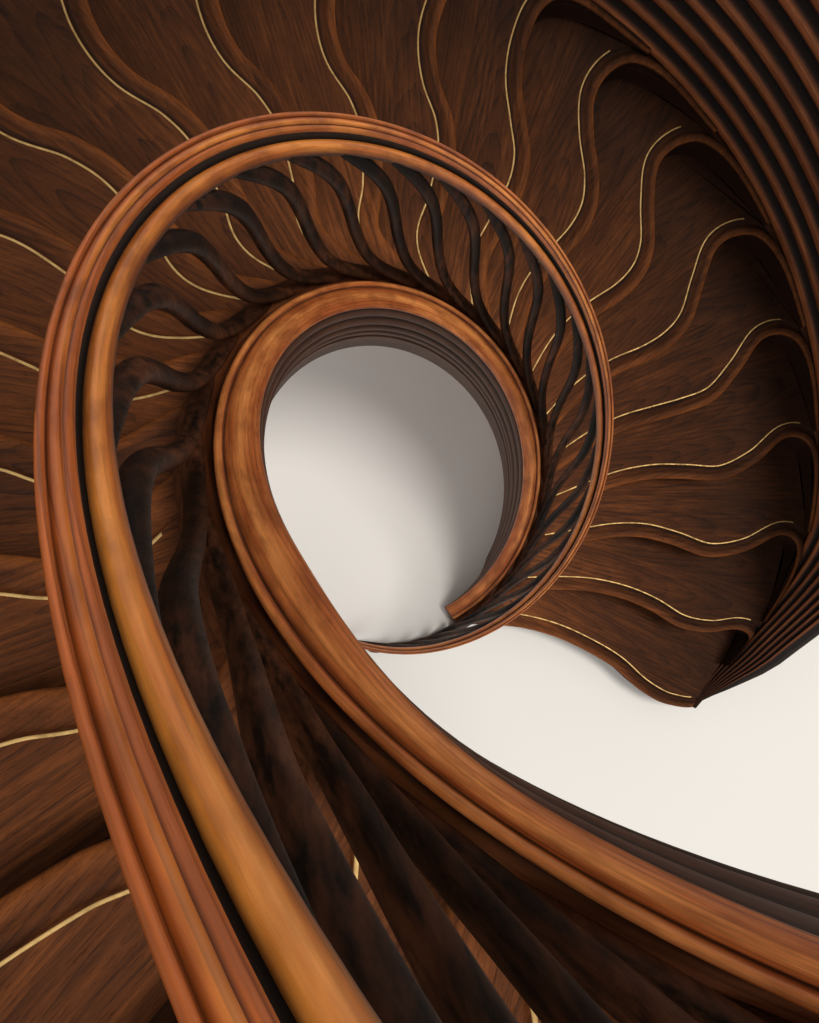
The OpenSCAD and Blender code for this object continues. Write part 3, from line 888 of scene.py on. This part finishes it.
# %% [markdown]
# Risers follow the nosing line of the tread above them, a lip's width behind its edge. The
# last one closes the step up to the floor above.

# %% Risers
RISER_POINTS = 48


def riser_rings(n):
    line = np.concatenate([nose_line(n, NOSING_LIP, RISER_POINTS),
                           nose_line(n, NOSING_LIP + RISER_THICK, RISER_POINTS)[::-1]])
    top = n * RISER - TREAD_THICK - tail_drop(line, n)
    for share in (0, 0.5, 1):
        yield np.column_stack([plan(line), mix((n - 1) * RISER, top, share)])


riser_boards = joined("riser_boards", [stack("riser", list(riser_rings(n)))
                                       for n in range(1, TREADS + 2)])
co = points(riser_boards)
step = np.floor(co[:, 2] / RISER + 0.1)
grain = np.stack([np.hypot(co[:, 0] - AXIS_X, co[:, 1]), co[:, 2] - step * RISER,
                  np.zeros(len(co))], 1)
paint(riser_boards, grain, 0.2, 0.0, board=5.0)
finish(riser_boards, riser_oak, "tread_oak", "risers")
print("riser points:", len(riser_boards.data.vertices))

# %% [markdown]
# The outer wall is a stack of bowed bars over a plain string. Every bar has a full rounded
# nose towards the stair, with a hollow above and below it. At the foot all of them close
# up, shrink and lean into a bundle that runs out to a point beside the first nosing.

# %% Ribs of the outer wall
RIB_FAN = 0.013  # how far each rib stands out from the one below it at the foot
FOOT_NARROW = 0.45
BASE_RISE = 0.020
FOOT_RISE = 0.024
TIP_REACH, POLISH_REACH, SHIFT_REACH = 12, 18, 6  # degrees from the point of the bundle
RIB_SHIFT = 1.3
RIB_SHAPE = [
    (-0.20, 0.00), (-0.22, 0.10), (-0.34, 0.20), (-0.66, 0.26), (-0.88, 0.34), (-0.98, 0.44),
    (-1.00, 0.56), (-0.95, 0.68), (-0.84, 0.78), (-0.80, 0.80), (-0.66, 0.86), (-0.34, 0.92),
    (-0.20, 1.00)]
RIB_SHAPE += [(-x, y) for x, y in RIB_SHAPE[::-1]]


def wall_in(turn):
    """Radius of the wall's inner face."""
    return WALL_R - FOOT_DENT * (1 - opened(turn))


def from_tip(turn, reach):
    """0 at the point of the bundle, 1 from `reach` degrees on."""
    return soft_step((turn - WALL_START) / reach)


def rib_base(turn):
    """Underside of the stack, which comes out of the first tread's lip."""
    run = mix(FOOT_RISE, climb(turn) + BASE_RISE, opened(turn))
    return mix(RISER - TREAD_THICK * 0.7, run, from_tip(turn, TIP_REACH))


def point_out(turn):
    """Shrinks the bundle to a point within the lip at its start."""
    return mix(TREAD_THICK * 0.4 / (RIBS * FOOT_RIB_H), 1, from_tip(turn, TIP_REACH))


def past_nosing(turn, shift):
    """Holds the first points back by some degrees, so that none shows before the nosing."""
    return turn + shift * (1 - from_tip(turn, SHIFT_REACH))


for k in range(1, RIBS + 1):
    middle, floor_v = WALL_R + RIB_W / 2, BASE_RISE + (k - 1) * RIB_H
    section = [(middle + x * RIB_W / 2, floor_v + y * RIB_H) for x, y in RIB_SHAPE]
    rib = helix("wall_rib_%d" % k, section, WALL_START, END_TURN)
    r, turn, v = polar(points(rib))
    across, up = (r - middle) / (RIB_W / 2), (v - floor_v) / RIB_H
    wide = opened(turn)
    tip = point_out(turn)
    high = mix(FOOT_RIB_H, RIB_H, wide) * tip
    half = RIB_W / 2 * mix(FOOT_NARROW, 1, wide) * tip
    centre = wall_in(turn) + RIB_W / 2 * tip + (k - 1) * RIB_FAN * (1 - wide) * tip
    level = rib_base(turn) + (k - 1 + up) * high
    # Painted shade fills the hollows between the rib noses, and a painted highlight lights each
    # nose.
    painted_hollow_shade = np.clip((0.93 - np.abs(across)) / 0.16, 0, 1)
    lit = fade(np.abs(up - 0.66), 0.16) * (across < -0.7)
    old_polish = 0.6 * (1 - from_tip(turn, POLISH_REACH))
    paint(rib, along_rail(r, turn, v, WALL_R), np.maximum(painted_hollow_shade * 0.97, old_polish),
          lit * 0.6 * (1 - old_polish), board=k)
    put_points(rib, centre + across * half, past_nosing(turn, RIB_SHIFT), level)
    finish(rib, wall_oak, "wall_oak", "rib_%d" % k)
print("rib points:", len(rib.data.vertices))

# %% [markdown]
# The outer string carries the treads' ends and the lowest rib, and a thin board closes the
# flight from below. Both follow the wall as it is drawn in at the foot, and the string
# starts behind the first riser.

# %% Outer string and soffit
OUTER_SHAPE = [
    (0.0, 0.00), (0.0, 0.30), (0.0, 0.60), (0.0, 0.90), (0.06, 0.925), (0.10, 0.945),
    (0.06, 0.965), (0.0, 0.975), (0.02, 0.99), (0.10, 1.00), (0.95, 1.00), (1.0, 0.99),
    (1.0, 0.50), (1.0, 0.02), (0.96, 0.0)]
OUTER_W, OUTER_H = RIB_W * 0.6, STRING_DROP + BASE_RISE
BEHIND_RISER = 3.0
section = [(WALL_R + x * OUTER_W, -STRING_DROP + y * OUTER_H) for x, y in OUTER_SHAPE]
outer_string = helix("outer_string", section[::-1], WALL_START, END_TURN)
r, turn, v = polar(points(outer_string))
low = np.maximum(0, climb(turn) - STRING_DROP)
share = (v + STRING_DROP) / OUTER_H
tip = point_out(turn)
paint(outer_string, along_rail(r, turn, v, WALL_R), 0.4 + 0.3 * (share > 0.93), 0.1)
put_points(outer_string, wall_in(turn) + (r - WALL_R) * tip, past_nosing(turn, BEHIND_RISER),
           mix(low, rib_base(turn), share))
finish(outer_string, wall_oak, "wall_oak", "outer_string_low", "outer_string_high")

SOFFIT_THICK, SOFFIT_DROP = 0.030, 0.244
SOFFIT_START = SOFFIT_DROP / climb(1)
SOFFIT_ACROSS = 9
section = [(mix(TREAD_IN, TREAD_OUT, s), -SOFFIT_DROP - SOFFIT_THICK)
           for s in np.linspace(0, 1, SOFFIT_ACROSS)]
section += [(x, v + SOFFIT_THICK) for x, v in section[::-1]]
soffit = helix("soffit_board", section, SOFFIT_START, END_TURN)
r, turn, v = polar(points(soffit))
share = (r - TREAD_IN) / (TREAD_OUT - TREAD_IN)
top = np.maximum(SOFFIT_THICK, climb(turn) - SOFFIT_DROP)
z = np.where(v > -SOFFIT_DROP - SOFFIT_THICK / 2, top, np.maximum(0, top - SOFFIT_THICK))
paint(soffit, np.stack([r, np.radians(turn) * 1.3, v], 1), 0.2, 0.0)
put_points(soffit, mix(TREAD_IN, wall_in(turn) - PLAY, share), turn, z)
finish(soffit, wall_oak, "wall_oak", "soffit_low", "soffit_high")
print("soffit starts at", round(SOFFIT_START, 1), "degrees")

# %% [markdown]
# Every baluster is an S that leaves the ledge along the run of the stair, stands up, and
# leans on again to meet the rail. Its foot runs out into a long root that braids with its
# neighbours, and its head grows slim where it meets the lower member. One is stacked from
# oval rings on its path, and the rest are copies, turned about the well and lifted with the
# stair.

# %% Balusters
STEM_GAP = 12.15
STEM_TURN = 13.0
STEM_FIRST, STEM_SPLIT, STEM_LAST = -4, 15, 26
NEAR_FLOOR = 0.01
STEM_PATH = [  # height over the nosing line, degrees from the middle, radius, half sizes
    (0.070, -42.0, 0.630, 0.0110, 0.0080), (0.115, -34.0, 0.634, 0.0190, 0.0150),
    (0.160, -27.0, 0.628, 0.0210, 0.0170), (0.195, -22.0, 0.618, 0.0215, 0.0172),
    (0.222, -18.0, 0.611, 0.0205, 0.0168), (0.252, -14.2, 0.606, 0.0188, 0.0162),
    (0.288, -10.6, 0.604, 0.0172, 0.0156), (0.335, -7.4, 0.603, 0.0160, 0.0152),
    (0.395, -4.7, 0.603, 0.0147, 0.0150), (0.470, -2.4, 0.602, 0.0145, 0.0147),
    (0.555, -0.3, 0.602, 0.0143, 0.0145), (0.640, 1.4, 0.601, 0.0143, 0.0145),
    (0.715, 3.2, 0.601, 0.0145, 0.0148), (0.775, 5.3, 0.600, 0.0148, 0.0152),
    (0.822, 8.2, 0.600, 0.0142, 0.0150), (0.856, 11.4, 0.600, 0.0130, 0.0145),
    (0.882, 14.6, 0.600, 0.0105, 0.0125), (0.903, 17.4, 0.600, 0.0085, 0.0090),
    (0.918, 19.2, 0.600, 0.0065, 0.0045)]
STEM_SIDES = 14
HEAD_V = 0.918
stem_path = smooth_curve(np.array(STEM_PATH), 3)


def stem_rings():
    """Ovals square to the path, each with its own half sizes."""
    v, lean, mid, half, deep = stem_path.T
    a = np.radians(lean)
    path = np.stack([mid * np.cos(a), mid * np.sin(a), v + climb(lean)], 1)
    run = np.gradient(path, axis=0)
    run /= np.linalg.norm(run, axis=1)[:, None]
    out = np.stack([np.cos(a), np.sin(a), 0 * a], 1)
    side = np.cross(run, out)
    side /= np.linalg.norm(side, axis=1)[:, None]
    out = np.cross(side, run)
    for p, o, s, w, d in zip(path, out, side, half, deep):
        f = np.linspace(0, 2 * math.pi, STEM_SIDES, endpoint=False)[:, None]
        ring = p + o * w * np.cos(f) + s * d * np.sin(f)
        yield ring + [AXIS_X, 0, 0]


def ledge_level(turn):
    """Height of what a baluster stands on: the ledge, or the floor below the string."""
    on = soft_step((turn - STRING_START + 4) / 6)
    return on * np.maximum(0, gathered(LEDGE_RISE, turn, BAND_RISE))


model = stack("baluster", list(stem_rings()))
model_r, model_turn, model_v = polar(points(model))
model_grain = np.stack([model_v * 1.3 + model_turn * 0.012, model_r,
                        np.radians(model_turn) * 0.35], 1)
# Painted shade darkens each head where it meets the lower member.
painted_head_shade = np.clip((model_v - 0.80) / 0.1, 0, 1) * 0.5
rubbed = 0.9 * soft_step((0.28 - model_v) / 0.08) + 0.02


def baluster(i):
    """A copy of the model with its foot on the ledge and its head under the lower member."""
    pick(model)
    bpy.ops.object.duplicate()
    copy = bpy.context.active_object
    turn = model_turn + STRING_START + (i + 0.5) * STEM_GAP + STEM_TURN
    share = (model_v - LEDGE_RISE) / (HEAD_V - LEDGE_RISE)
    z = mix(ledge_level(turn), HEAD_V + climb(turn), share)
    paint(copy, model_grain, painted_head_shade, rubbed * (1 - painted_head_shade), board=i)
    put_points(copy, model_r, turn, z)
    if z.min() < NEAR_FLOOR:
        cut_at_floor(copy)
    return copy


for name, span in (("balusters_low", range(STEM_FIRST, STEM_SPLIT + 1)),
                   ("balusters_high", range(STEM_SPLIT + 1, STEM_LAST + 1))):
    row = joined(name + "_carved", [baluster(i) for i in span])
    finish(row, dark_oak, "dark_oak", name, smooth=50)
    print(name, len(row.data.vertices), "points")
bpy.data.objects.remove(model)
